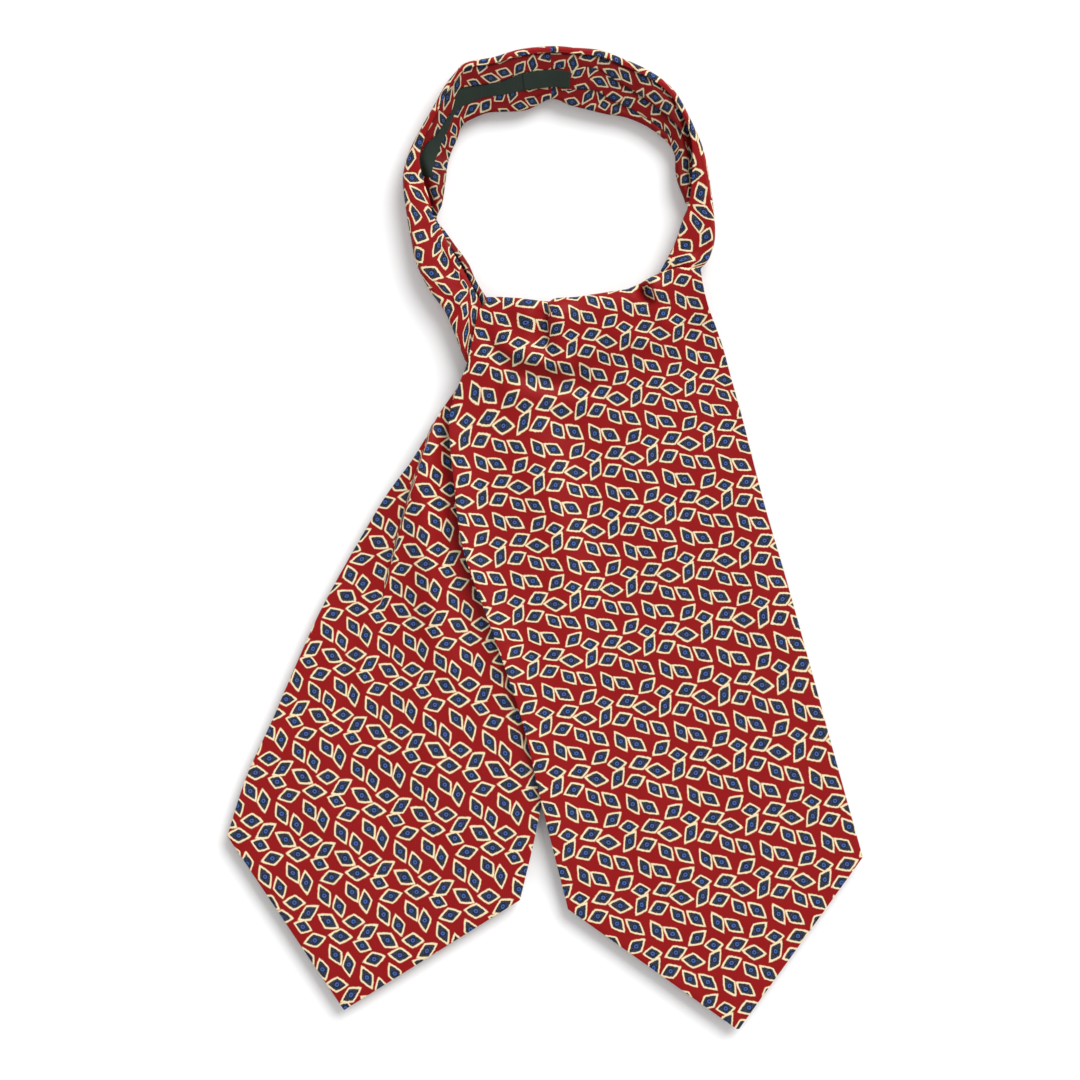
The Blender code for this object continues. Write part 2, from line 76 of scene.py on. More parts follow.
# The front and the rear blade, from the top to the line between the corners. left and right: the
# edges. left_z, middle_z and right_z: heights of the middle of the cloth. over: the share of the
# width, from the left, that rides over what lies beneath. dip: how much of the top's sag is left.
# curl: how far the left edge stands up from the rest. A height that is left out is that of cloth on
# the floor, and the others are then 0.
LAID = 0.65
Blade = namedtuple(
    "Blade", "left_x left_y right_x right_y left_z middle_z right_z over dip curl",
    defaults=(LAID, LAID, LAID, 0, 0, 0))
FRONT = [Blade(*row) for row in (
    (-31.9, 131.7, 85.3, 147.7, 9.4, 12.4, 9.4, 0.1, 1),
    (-36.3, 124.6, 86.2, 141, 9.4, 12.8, 9.2, 0.1, 0.85),
    (-39.6, 110.3, 89.4, 128, 9.2, 11.6, 6.4, 0.15, 0.5),
    (-42.9, 95.4, 94.3, 115, 9, 9.2, 3, 0.2, 0.2),
    (-47.3, 84.4, 97.8, 105, 7, 5.4, 1.4, 0.22, 0.05, 0.6),
    (-52.3, 69, 101.6, 91, 5.4, 3, LAID, 0.25, 0, 2),
    (-52.3, 54.7, 105.2, 78, 4.6, 1.6, LAID, 0.28, 0, 3.6),
    (-50.6, 36.6, 109.7, 61.5, 4.4, LAID, LAID, 0.31, 0, 3.6),
    (-45.1, -5.2, 119.9, 21.2, 4, LAID, LAID, 0.31, 0, 4),
    (-30.3, -47.6, 131.9, -20, 3.6, LAID, LAID, 0.25, 0, 3.2),
    (-13.2, -98.2, 145.8, -70, 3.2, LAID, LAID, 0.14, 0, 2),
    (-1.7, -146.6, 158.8, -118, 2.7, LAID, LAID, 0.03, 0, 1),
    (12.7, -203.8, 174.7, -175.2),
)]
FRONT_TIP = (106.2, -270.3)
REAR = [Blade(*row) for row in (
    (-43.6, 91.5, -14.5, 102.8, 3.8, 4.2, 3.4),
    (-47.3, 84, -12, 86, 3.2, 3.8, 3),
    (-57, 70, -7, 62, 2.2, 2.8, 1.8),
    (-72.5, 43.5, -1, 30, 1.3, 2.4, 0.9),
    (-90.5, 18.5, 4, -4, LAID, 1.6, LAID),
    (-120.5, -34, 8, -62),
    (-138, -72, 5.5, -103),
    (-150, -100, 0.5, -132),
    (-164, -130.5, -5.5, -164),
    (-174.7, -163.5, -13.8, -198.8),
)]
REAR_TIP = (-110.5, -259.3)
OVER_FALL = 0.14
CURL_WIDTH = 9
RIGHT_FALL_FROM = 0.45
RIGHT_FALL = 0.5
BLADE_RIPPLE = 0.16

# Columns of each blade's grid, and which share of the rear's columns is left of its pleat. The
# front's columns crowd at the notch in its roll.
FRONT_COLUMNS = 125
REAR_COLUMNS = 117
PLEAT_COLUMN = 0.28
NOTCH_SHARE = 0.315
NOTCH_WIDTH = 0.035
NOTCH_CROWD = 1.6

# Over how many rows a blade's grid bends into its point, and how sharply.
POINT_ROWS = 3
POINT_BEND = 1.6

# Where the front blade starts below its roll, and how much finer its grid is, down to which row.
BELOW_ROLL = 0.9
FINE_SHARE = 0.8
FINE_ROWS = 3.5

# The front blade's top edge at shares of its width: how far it sags below a straight line, how
# wide and how high its roll is, and how much of its back is left open over the band's ends.
Roll = namedtuple("Roll", "share sag wide high opened")
ROLL = [Roll(*row) for row in (
    (0, 0, 2, 1.4, 1),
    (0.06, 0.7, 3.2, 2, 0.9),
    (0.15, 2.8, 5, 3.4, 0.2),
    (0.24, 5.6, 6.5, 4.4, 0),
    (0.295, 7, 7.5, 4.8, 0),
    (0.318, 5.6, 7, 4.6, 0),
    (0.42, 6.5, 6.5, 4.6, 0),
    (0.56, 6.2, 6, 4.6, 0),
    (0.66, 6, 5.4, 4.4, 0),
    (0.72, 3.8, 4, 3.4, 0.4),
    (0.78, 0.8, 2.4, 1.6, 1),
    (0.84, -1.2, 1.4, 1, 1),
    (0.91, -1.8, 1, 0.7, 1),
    (1, 0, 0.9, 0.6, 1),
)]
ROLL_TUCK = 5

# Creases, listed one by one. Each runs from one point to another, bowed to its left, and rises or
# sinks by height over width. steep squeezes its right side into a ledge. take is the cloth that it
# takes in, which moves the print on its right side, as far as reach. Left out, steep and take are 0.
Fold = namedtuple("Fold", "x1 y1 x2 y2 bow width height steep take reach", defaults=(0, 0, 9))
FRONT_FOLDS = [Fold(*row) for row in (
    (3.4, 146.5, 2.4, 102, 0, 5, 3.8, 0.9, 5, 14),
    (-1.6, 140, 1.2, 92, -0.8, 5.4, -5, 0, 2, 10),
    (-23, 131, 0.5, 119, 2, 4, 1.2),
    (-31, 111.3, 28, 97, -7.5, 6, 3.8, 0.5, 1, 14),
    (-30, 98.5, 36, 84, -5, 5, -2.8),
    (-26.8, 82.6, 32.1, 75, -3, 5.5, 1.3),
    (-37, 117.8, -17, 88.5, 0, 3.8, -1.6),
    (47, 142.5, 59, 127, 1.2, 3.2, -7.5, 0, 1, 5),
    (50.5, 146, 62.5, 127.5, 1.2, 3.6, 3.8, 0.78, 3, 7),
    (57, 133, 71, 106, 1, 5, 1.6, 0.1, 0, 9),
    (11, 112, 22.5, 74, 1, 3.4, -1.1),
    (-30.8, 108, -24, 66, 0.6, 3.4, -1),
    (64.4, 137, 68, 116, 0, 2.8, -0.8),
    (43.5, 118, 46, 88, 0, 3.4, -0.9),
    (66.5, 118, 72.5, 86, 0, 4.8, -0.9),
    (79, 122, 83.5, 98, 0, 3, -0.7),
    (28, 116, 84, 104, -2, 5.5, 1),
    (-20, 62, 20, -30, 3, 9, 0.9),
    (40, 80, 74, -40, -4, 12, 0.8),
    (95, 60, 128, -80, 3, 10, 0.8),
    (30, -90, 80, -220, 5, 14, 0.8),
)]
REAR_FOLDS = [Fold(*row) for row in (
    (-51, 89, -90.5, -40, -3, 11, 2.6, 0.97, 16, 200),
    (-52, 89, -92, -40, -3, 10, 2),
    (-106, -28, -113.9, -132, 2, 6.5, -0.5),
    (-116, -34, -124, -130, 2, 6, 1),
    (-96, -20, -104, -130, 0, 6, 1),
    (-55.5, 80, -53.5, 30, 0, 4, -3.4),
    (-52, -84, -66, 66, 5, 9, 5.4, 0.25, 0, 9),
    (-54.2, 50, -34, -80, 0, 7, -4),
    (-38, 24, -18, -90, 2, 15, 3),
    (-60, 20, -40, -120, 5, 9, 0.6),
    (-78, -50, -60, -170, 5, 9, 0.8),
    (-140, -90, -100, -230, 4, 12, 0.8),
)]
# On top of the band's outer layer.
BAND_FOLDS = [
    Fold(-68, 147.5, -37, 116, 1.5, 3.4, 0.9, 0.8, 5, 12),
    Fold(-60.5, 168, -33, 125, -1.5, 3, 0.8, 0.8, 6, 12),
    Fold(62, 147.2, 90, 153, 0, 2.6, 0.9, 0.8, 3, 8),
    Fold(61.5, 150.5, 76, 153, 0.4, 1.6, 0.5, 0.8, 2, 5),
    Fold(89, 166, 79, 153, 1.5, 3, -1.6),
]

# The band, from its left end below the front blade, round the back of the neck, to its right end.
# rim: the outer rim. hole: the neck side. lap: how far the outer layer folds over the inner face.
# crest and lip: the height of the top at the rim and at the neck side. fold_a and fold_b: where a
# pleat's edge runs on the inner face, as a share of the width from the rim, and step_a and
# step_b: how far the cloth drops there. tape_a and tape_b: the borders of the woven labels. The
# last six are left out where there is no pleat, and the last two where there is no label.
Band = namedtuple(
    "Band",
    "rim_x rim_y hole_x hole_y lap crest lip fold_a step_a fold_b step_b tape_a tape_b",
    defaults=(0.5, 0, 0.8, 0, 0.4, 0.6),
)
BAND = [Band(*row) for row in (
    (-43, 95.5, -26, 123.5, 25, 6.6, 5.6),
    (-46, 103, -29, 128.5, 23.5, 7, 5.8),
    (-49.5, 112, -33.5, 134.5, 22.5, 7.2, 6),
    (-55, 124.5, -38, 142, 20, 7.6, 6.2),
    (-63.5, 136.5, -42.5, 152, 21, 8, 6.4),
    (-70.5, 150.5, -48.5, 160, 20, 8.4, 6.6),
    (-73.5, 164, -54.5, 168.5, 17, 8.6, 6.8),
    (-76, 178, -59.5, 175.5, 14.5, 8.6, 6.8),
    (-77.5, 189, -56.5, 183.5, 14, 8.8, 6.3, 0.62, 0.2, 0.8, 0),
    (-78, 199.5, -55, 193, 11, 8.8, 6.3, 0.42, 0.8, 0.82, 0, 0.42, 0.64),
    (-75.5, 210, -54, 201.5, 6.5, 8.8, 6.2, 0.29, 1.1, 0.84, 0, 0.29, 0.66),
    (-71.5, 219, -53, 207.5, 4.2, 8.8, 5.6, 0.29, 1.5, 0.86, 0, 0.29, 0.68),
    (-66, 229, -51, 213.5, 3.4, 9.4, 5.2, 0.43, 1.6, 0.86, 0, 0.43, 0.66),
    (-60.5, 238.5, -48.5, 219, 3.2, 9.4, 5, 0.46, 1.6, 0.86, 0, 0.46, 0.66),
    (-55, 248.5, -47, 223.5, 3, 9.4, 5, 0.5, 1.6, 0.86, 0, 0.5, 0.64),
    (-49.5, 255.5, -44.5, 228, 3, 9.6, 5, 0.34, 1.6, 0.86, 0, 0.34, 0.68),
    (-45, 260.5, -38, 231.5, 3, 9.6, 4.6, 0.42, 1.5, 0.86, 0, 0.42, 0.72),
    (-38.5, 262.5, -31, 234, 3, 9.6, 4.6, 0.46, 1.3, 0.86, 0, 0.46, 0.71),
    (-27.5, 264.5, -22, 234.5, 3, 9.6, 4.6, 0.45, 1.1, 0.86, 0, 0.45, 0.7),
    (-14, 268.5, -10, 235.5, 3, 9.6, 4.6, 0.39, 0.9, 0.86, 0, 0.39, 0.68),
    (3, 270.3, 3.5, 241.5, 3, 9.6, 4.6, 0.44, 0.6, 0.88, 0, 0.44, 0.78),
    (16.5, 269.5, 14, 238, 3, 9.6, 4.8, 0.33, 0, 0.72, 0.6, 0.41, 0.7),
    (30.5, 268, 26, 235, 3, 9.6, 5.2, 0.31, 0.7, 0.66, 0.9),
    (42.5, 263.5, 34.5, 233, 3, 9.6, 5.4, 0.4, 1.2, 0.74, 1),
    (54, 258.5, 44, 231.5, 3, 9.6, 5.6, 0.48, 1.6, 0.8, 0.9),
    (64.5, 252, 55, 227, 3, 9.6, 5.8, 0.54, 1.9, 0.85, 0.7),
    (72, 244.5, 63.5, 221, 3, 9.4, 6, 0.53, 2.1, 0.86, 0.5),
    (78, 234, 69, 215.5, 3.2, 9.4, 6.2, 0.46, 2.2, 0.84, 0.3),
    (83, 223.5, 71.5, 209.5, 4, 9.2, 6.5, 0.44, 1.8, 0.8, 0.1),
    (86.5, 215, 71.5, 202.5, 6.5, 8.8, 6.6, 0.46, 0.9, 0.8, 0),
    (89.5, 202.5, 73, 195, 9, 8.6, 6.6, 0.58, 0.4, 0.8, 0),
    (92, 186, 77, 184, 12.4, 8.6, 6.4, 0.6, 0, 0.8, 0),
    (93, 176, 76, 177, 17, 8.4, 6.4, 0.6, 0, 0.8, 0),
    (93.5, 169.5, 73.5, 168.5, 20, 8.2, 6.2, 0.6, 0, 0.8, 0),
    (93, 162.5, 71, 161.5, 22, 7.8, 6, 0.6, 0, 0.8, 0),
    (90, 153.5, 67.5, 154.5, 22.5, 7.4, 5.8, 0.6, 0, 0.8, 0),
    (85, 147.5, 63, 146, 22, 7, 5.6, 0.6, 0, 0.8, 0),
    (81.5, 141, 59, 137, 22.9, 6.6, 5.2, 0.6, 0, 0.8, 0),
)]
CENTRE_BACK = 20
INNER_RIGHT_END = 31
OUTER_CLOSED_FROM = 32.4
BAND_RIPPLE = 0.3
TAPE_RIPPLE = 0.12
TAPE_COLUMNS = 13
TAPE_STEP = 0.9
NAME_TAPE = (9.3, 19.25)
FIBRE_TAPE = (19, 20.9)
LAYER_DROP = 1.55
LOWEST_INNER = 1
RIM_ROUND = 2.6
NECK_ROUND = 2.6
FOOT_INSET = 4.1
INNER_START = 2.2
LAP_MARGIN = 1.8
# A pleat's turned edge, out from its line and down, as shares, and the cloth that it takes in.
PLEAT_EDGE = [(0, 0.10), (0.12, 0.38), (-0.45, 0.66), (-0.80, 0.90)]
PLEAT_TAKE = 5
CREST_CURVE = 1.4
STEP_CLOSES_FROM = 0.85
LEAST_STEP = 0.4
TAPE_INSET = 0.02
TAPE_LIFT = 0.55
FIBRE_LIFT = 1.05

# Beside the edge of the outer layer's lap the inner face sinks into a crevice, from place to place
# along the band, and rises again beyond it towards the neck side.
Hollow = namedtuple("Hollow", "place depth reach rise")
HOLLOWS = [Hollow(*row) for row in (
    (0, 1, 1.4, 0.6), (2, 2, 1.4, 1), (4, 3, 1.5, 1.4),
    (6, 3, 1.4, 1.4), (7.4, 2, 1.4, 1.2), (8.3, 3.4, 3.2, 1),
    (9.2, 3.8, 3.8, 0.6), (10.2, 1.4, 2.6, 0), (11.2, 0.4, 1.6, 0),
    (20, 0.5, 1.4, 0), (25, 0.6, 1.6, 0), (26.6, 2.4, 3.6, 0),
    (28, 5.4, 5.2, 0), (29.5, 5.4, 4.8, 0.2), (30.4, 2, 2.4, 0.4),
    (31, 0.8, 1.6, 0.4),
)]

# Layers hidden beneath the top of the front blade, in sections from the left.
Lump = namedtuple("Lump", "x low_y high_y height")
CROSSING = [Lump(*row) for row in (
    (-29, 106.5, 112, 3.6),
    (-22, 104.5, 116, 5.6),
    (-10, 103.4, 119, 6.8),
    (3, 102, 120, 6.8),
    (20, 104, 122.5, 8),
    (36, 108, 125.5, 7.6),
    (50, 115, 129, 6.4),
    (62, 124, 133.5, 5),
    (69, 130, 135.5, 3.6),
)]

# The print: ten small lozenges in five touching pairs, charted in half millimetres, and the two
# steps by which they repeat. Each has its middle and half of its long and of its short diagonal.
Motif = namedtuple("Motif", "right up long_right long_up short_right short_up")
MOTIFS = [Motif(*row) for row in (
    (-1, 0, -4, 5, 2.5, 2.5),
    (7.5, -0.5, -5.5, 3, 2, 3),
    (20.5, -1, 4, 4.5, -3, 2.5),
    (29.5, -3.5, 5, 1, -1, 3.5),
    (41.5, -1.5, 5.5, 3, -2, 3.5),
    (51, -4.5, 6.5, 0, -0.5, 4),
    (62, -2.5, 2.5, 6, -3, 2.5),
    (71, -3, 5, 3, -2, 3.5),
    (81.5, -5.5, -4.5, 4, 2.5, 2.5),
    (91, -6, -5.5, 3.5, 2, 3),
)]
REPEAT_ACROSS = (-31, -8.5)
REPEAT_DOWN = (10.5, -32)

# How each blade's cloth lies under the print. start: where the first lozenge of a repeat falls.
# Then, down the blade, how far the cloth is turned, in degrees, and how much flat cloth there is
# for each millimetre of the frame.
Lay = namedtuple("Lay", "y turn loose")
FRONT_START = (57, -39)
FRONT_LAY = [
    Lay(150, 8, 1.1),
    Lay(87, 6, 1.08),
    Lay(55, 1, 1),
    Lay(-40, 1, 1),
    Lay(-90, 5, 0.97),
    Lay(-130, 7.5, 0.95),
]
REAR_START = (-113, -120)
REAR_LAY = [
    Lay(90, -150, 1),
    Lay(-80, -150, 1),
    Lay(-130, -147, 0.94),
]

LAY_STEP = 0.5
LAY_HEIGHTS = np.arange(-320, 280, LAY_STEP)

# The place below the camera, in metres, where the key light comes from, and the film's width.
VIEW_MIDDLE = (-0.00275, -0.000825)
KEY_FROM = (0.68, 0.96, 1.0)
FILM_WIDTH = 36.0


def a_length(name, description, value, least):
    """A length that a user can change."""
    return FloatProperty(
        name=name, description=description, default=value, min=least, unit="LENGTH")


def a_share(name, description, value, most=1):
    """A share that a user can change."""
    return FloatProperty(
        name=name, description=description, default=value, min=0, max=most, subtype="FACTOR")


def a_colour(name, description, value):
    """A colour that a user can change."""
    return FloatVectorProperty(
        name=name, description=description, default=value, min=0, max=1, subtype="COLOR")


class CravatCloth(bpy.types.PropertyGroup):
    """Sizes of the cloth."""

    blade_wall: a_length(
        "Blade thickness", "Thickness of a blade, two layers of silk", 0.0012, 0.0002)
    band_wall: a_length("Band thickness", "Thickness of one layer of the band", 0.0006, 0.0002)
    tape_wall: a_length("Label thickness", "Thickness of a woven label", 0.0004, 0.0001)
    mesh_step: a_length("Mesh step", "Distance between points of the cloth", 0.0014, 0.0008)
    fold_depth: a_share("Fold depth", "How deep the creases are, as a share", 1, 1.5)


class CravatPrint(bpy.types.PropertyGroup):
    """Colours and sizes of the print."""

    ground: a_colour("Ground", "Red of the ground", (0.260, 0.0056, 0.0064))
    outline: a_colour("Outline", "Cream of the lozenges' outlines", (0.785, 0.645, 0.405))
    core: a_colour("Core", "Navy inside the lozenges", (0.007, 0.008, 0.016))
    speck: a_colour("Specks", "Blue grey specks in the navy", (0.067, 0.080, 0.130))
    ring: a_colour("Ring", "Blue ring in the middle of a lozenge", (0.050, 0.105, 0.340))
    size: FloatProperty(
        name="Lozenge size", description="Size of the lozenges, as a share of the chart's",
        default=1.03, min=0.5, max=1.5)
    bulge: FloatProperty(
        name="Bulge", description="How far the lozenges' sides bow out, from 1 for straight",
        default=1.16, min=1, max=2)
    core_share: a_share("Core share", "Size of the navy core as a share of the lozenge", 0.75)
    # Painted shade: the print's colours on the band's inner face are darkened by this share, standing
    # in for the shadow there.
    painted_shade_inside: a_share(
        "Painted shade inside the band", "How bright the cloth inside the neckband is", 0.64)
    tape: a_colour("Label", "Dark green of the woven labels", (0.012, 0.019, 0.014))


class CravatStudio(bpy.types.PropertyGroup):
    """Light, floor and camera."""

    key_power: FloatProperty(
        name="Key light", description="Strength of the soft light from the upper right",
        default=3.0, min=0)
    key_spread: FloatProperty(
        name="Key spread", description="Angle across the key light, which softens its shadows",
        default=math.radians(42), min=0, unit="ROTATION")
    floor_depth: a_length(
        "Floor depth", "How far the floor lies below clear glass", 0.007, 0.0005)
    fill_strength: FloatProperty(
        name="Fill", description="Strength of the even light all round", default=0.69, min=0)
    floor_colour: a_colour("Floor", "Colour of the floor", (0.93, 0.93, 0.93))
    view_height: a_length("View height", "Height of the camera above the floor", 2.4, 0.5)
    view_width: a_length("View width", "Width of floor that the picture shows", 0.594, 0.1)


def soft_step(value):
    """A smooth rise from 0 to 1."""
    value = np.clip(value, 0.0, 1.0)
    return value * value * (3 - 2 * value)


def read_rows(table, places):
    """Rows of a table at places between its rows, on smooth curves, as one row of arrays."""
    rows = np.array(table, float)
    places = np.asarray(places, float)
    first = np.clip(places.astype(int), 0, len(rows) - 2)
    t = (places - first)[..., None]
    a, b, c, d = (rows[np.clip(first + k, 0, len(rows) - 1)] for k in (-1, 0, 1, 2))
    square = (2 * a - 5 * b + 4 * c - d) * t ** 2
    cube = (3 * b - a - 3 * c + d) * t ** 3
    values = 0.5 * (2 * b + (c - a) * t + square + cube)
    return type(table[0])(*np.moveaxis(values, -1, 0))


def stations(path, first, last, step):
    """Places from first to last that are a step apart along a path, with their distances."""
    fine = np.linspace(first, last, 2000)
    spots = np.stack(path(fine), -1)
    run = np.concatenate([[0.0], np.cumsum(np.linalg.norm(np.diff(spots, axis=0), axis=1))])
    count = max(2, int(round(run[-1] / step)))
    distances = np.linspace(0.0, run[-1], count + 1)
    return np.interp(distances, run, fine), distances


def fold_run(fold):
    """How far a fold runs in x and in y, and its length."""
    run_x = fold.x2 - fold.x1
    run_y = fold.y2 - fold.y1
    return run_x, run_y, math.hypot(run_x, run_y)


def fold_side(fold, x, y):
    """How far points are along a fold, as a share, and to the left of it."""
    run_x, run_y, run = fold_run(fold)
    along = ((x - fold.x1) * run_x + (y - fold.y1) * run_y) / run ** 2
    side = ((y - fold.y1) * run_x - (x - fold.x1) * run_y) / run
    return along, side - fold.bow * 4 * along * (1 - along)


def crease(folds, x, y, depth):
    """What folds add at points: height, and how far they move the print there."""
    rise = np.zeros_like(x)
    move_x = np.zeros_like(x)
    move_y = np.zeros_like(x)
    for fold in folds:
        run_x, run_y, run = fold_run(fold)
        along, side = fold_side(fold, x, y)
        fade = np.clip(1 - (2 * along - 1) ** 2, 0.0, 1.0)
        narrow = fold.width * (1 - fold.steep)
        wide = np.where(side > 0, fold.width * (1 + fold.steep), narrow)
        rise += fold.height * fade * np.exp(-(side / wide) ** 2)
        past = 0.5 * (1 - np.tanh(side / narrow)) * np.exp(-(side / fold.reach) ** 2)
        move_x += fold.take * fade * past * run_y / run
        move_y -= fold.take * fade * past * run_x / run
    return rise * depth, move_x, move_y


def ripple(x, y, size):
    """Small uneven waves, as pressed silk keeps."""
    waves = [(0.21, 0.05, 0.4), (0.09, -0.17, 1.9), (-0.13, 0.28, 3.1), (0.31, 0.19, 5.2)]
    return size * sum(np.sin(a * x + b * y + c) for a, b, c in waves) / len(waves)


def lay_cloth(start, table, x, y):
    """Flat cloth coordinates at points in the frame, where the cloth turns slowly on its way down."""
    heights = LAY_HEIGHTS
    rows = table[::-1]
    spots = [row.y for row in rows]
    turn = np.radians(np.interp(heights, spots, [row.turn for row in rows]))
    loose = np.interp(heights, spots, [row.loose for row in rows])
    right_run = np.cumsum(-np.sin(turn) * loose) * LAY_STEP
    up_run = np.cumsum(np.cos(turn) * loose) * LAY_STEP
    right_run += MOTIFS[0].right - np.interp(start[1], heights, right_run)
    up_run += MOTIFS[0].up - np.interp(start[1], heights, up_run)
    aside = (x - start[0]) * np.interp(y, heights, loose)
    here = np.interp(y, heights, turn)
    right = np.interp(y, heights, right_run) + np.cos(here) * aside
    up = np.interp(y, heights, up_run) + np.sin(here) * aside
    return np.stack([right, up], -1)


def turned(x, y, angle):
    """Points turned about the origin, by degrees."""
    turn = math.radians(angle)
    return x * math.cos(turn) - y * math.sin(turn), x * math.sin(turn) + y * math.cos(turn)


def blade_surface(rows, tip, share, place):
    """A blade's smooth surface at shares of its width and places along its rows."""
    last = len(rows) - 1
    row = read_rows(rows, np.minimum(place, last))
    beyond = np.maximum(place - last, 0.0)
    end = rows[-1]
    x = row.left_x + (row.right_x - row.left_x) * share
    y = row.left_y + (row.right_y - row.left_y) * share
    x = x + (tip[0] - (end.left_x + end.right_x) / 2) * beyond
    y = y + (tip[1] - (end.left_y + end.right_y) / 2) * beyond
    fall = soft_step((share - RIGHT_FALL_FROM) / RIGHT_FALL)
    free = row.middle_z + (row.right_z - row.middle_z) * fall
    z = row.left_z + (free - row.left_z) * soft_step((share - row.over) / OVER_FALL)
    width = np.hypot(row.right_x - row.left_x, row.right_y - row.left_y)
    z = z + row.curl * np.exp(-(share * width / CURL_WIDTH) ** 2)
    return x, y, z, row.dip


def gathered(rows, tip, places, fold, column):
    """Shares of the width for a grid of places, with one column on a fold's line and the next
    ones close to it."""
    even = np.linspace(0, 1, places.shape[1])
    x, y, _, _ = blade_surface(rows, tip, even[None, :], places)
    _, side = fold_side(fold, x, y)
    line = np.array([np.interp(0.0, row, even) for row in side])[:, None]
    line = np.clip(line, 0.05, 0.5)
    before = np.clip((column - even) / column, 0.0, 1.0)[None, :]
    after = np.clip((even - column) / (1 - column), 0.0, 1.0)[None, :]
    return line * (1 - before ** 1.5) + (1 - line) * after ** 1.35


def blade_places(rows, step, first=0.0):
    """Places along a blade's middle line, a step apart, from first to its last row."""
    last = len(rows) - 1

    def middle(place):
        row = read_rows(rows, place)
        return (row.left_x + row.right_x) / 2, (row.left_y + row.right_y) / 2

    return stations(middle, first, last, step)[0]


def to_point(place, last, share):
    """Places of a grid whose rows bend down to the blade's point in its last part."""
    start = last - POINT_ROWS
    bend = np.clip((place - start) / (last - start), 0.0, 1.0) ** POINT_BEND
    return place[:, None] + bend[:, None] * (1 - np.abs(2 * share - 1))


def cloth_sheet(name, points, cloth, wall, material):
    """A thin shell of cloth through rows of points on its middle, in millimetres, with its flat
    cloth coordinates as a UV map. Rows run along the cloth and points across it from its left."""
    rows, columns = points.shape[:2]
    bpy.ops.object.select_all(action="DESELECT")
    bpy.ops.mesh.primitive_grid_add(
        x_subdivisions=columns - 1, y_subdivisions=rows - 1, size=2, calc_uvs=True)
    piece = bpy.context.object
    piece.name = name
    mesh = piece.data
    mesh.name = name
    flat = np.empty(len(mesh.vertices) * 3)
    mesh.vertices.foreach_get("co", flat)
    flat = flat.reshape(-1, 3)
    column = np.rint((flat[:, 0] + 1) / 2 * (columns - 1)).astype(int)
    row = np.rint((flat[:, 1] + 1) / 2 * (rows - 1)).astype(int)
    mesh.vertices.foreach_set("co", (points[row, column] * MM).ravel())
    layer = mesh.uv_layers[0]
    layer.name = "cloth"
    corner = np.empty(len(mesh.loops), int)
    mesh.loops.foreach_get("vertex_index", corner)
    layer.uv.foreach_set("vector", (cloth[row, column] * MM)[corner].ravel())
    mesh.materials.append(material)
    mesh.update()
    solid = piece.modifiers.new("wall", "SOLIDIFY")
    solid.thickness = wall
    solid.offset = 0.0
    rounded = piece.modifiers.new("turned edge", "BEVEL")
    rounded.width = wall * 0.42
    rounded.segments = 2
    rounded.limit_method = "ANGLE"
    rounded.angle_limit = math.radians(66)
    for modifier in (solid, rounded):
        bpy.ops.object.modifier_apply(modifier=modifier.name)
    bpy.ops.object.shade_smooth()
    return piece


def settle(piece, node):
    """Rides a finished piece on the body and stands it for its node."""
    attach(piece, BODY)
    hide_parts(node)


class Value:
    """A socket of a shader, with arithmetic that adds Math nodes."""

    def __init__(self, shader, socket):
        self.shader = shader
        self.socket = socket

    def math(self, operation, *others):
        inputs = dict(enumerate((self, *others)))
        return self.shader.node("ShaderNodeMath", {"operation": operation}, inputs)

    def __add__(self, other):
        return self.math("ADD", other)

    def __sub__(self, other):
        return self.math("SUBTRACT", other)

    def __rsub__(self, other):
        return self.shader.node("ShaderNodeMath", {"operation": "SUBTRACT"}, {0: other, 1: self})

    def __mul__(self, other):
        return self.math("MULTIPLY", other)

    __radd__ = __add__
    __rmul__ = __mul__

    def least(self, other):
        return self.math("MINIMUM", other)

    def sine(self):
        return self.math("SINE")

    def wave(self, x, y):
        """Lines across a flat place, which lie closer the larger x and y are."""
        return self.vector("DOT_PRODUCT", (x, y, 0.0)).sine()

    def step(self, low, high):
        """A smooth rise from 0 at low to 1 at high."""
        return self.shader.node(
            "ShaderNodeMapRange", {"interpolation_type": "SMOOTHSTEP"},
            {"Value": self, "From Min": low, "From Max": high})

    def vector(self, operation, *others):
        inputs = dict(enumerate((self, *others)))
        output = "Value" if operation in ("DOT_PRODUCT", "LENGTH") else "Vector"
        return self.shader.node("ShaderNodeVectorMath", {"operation": operation}, inputs, output)


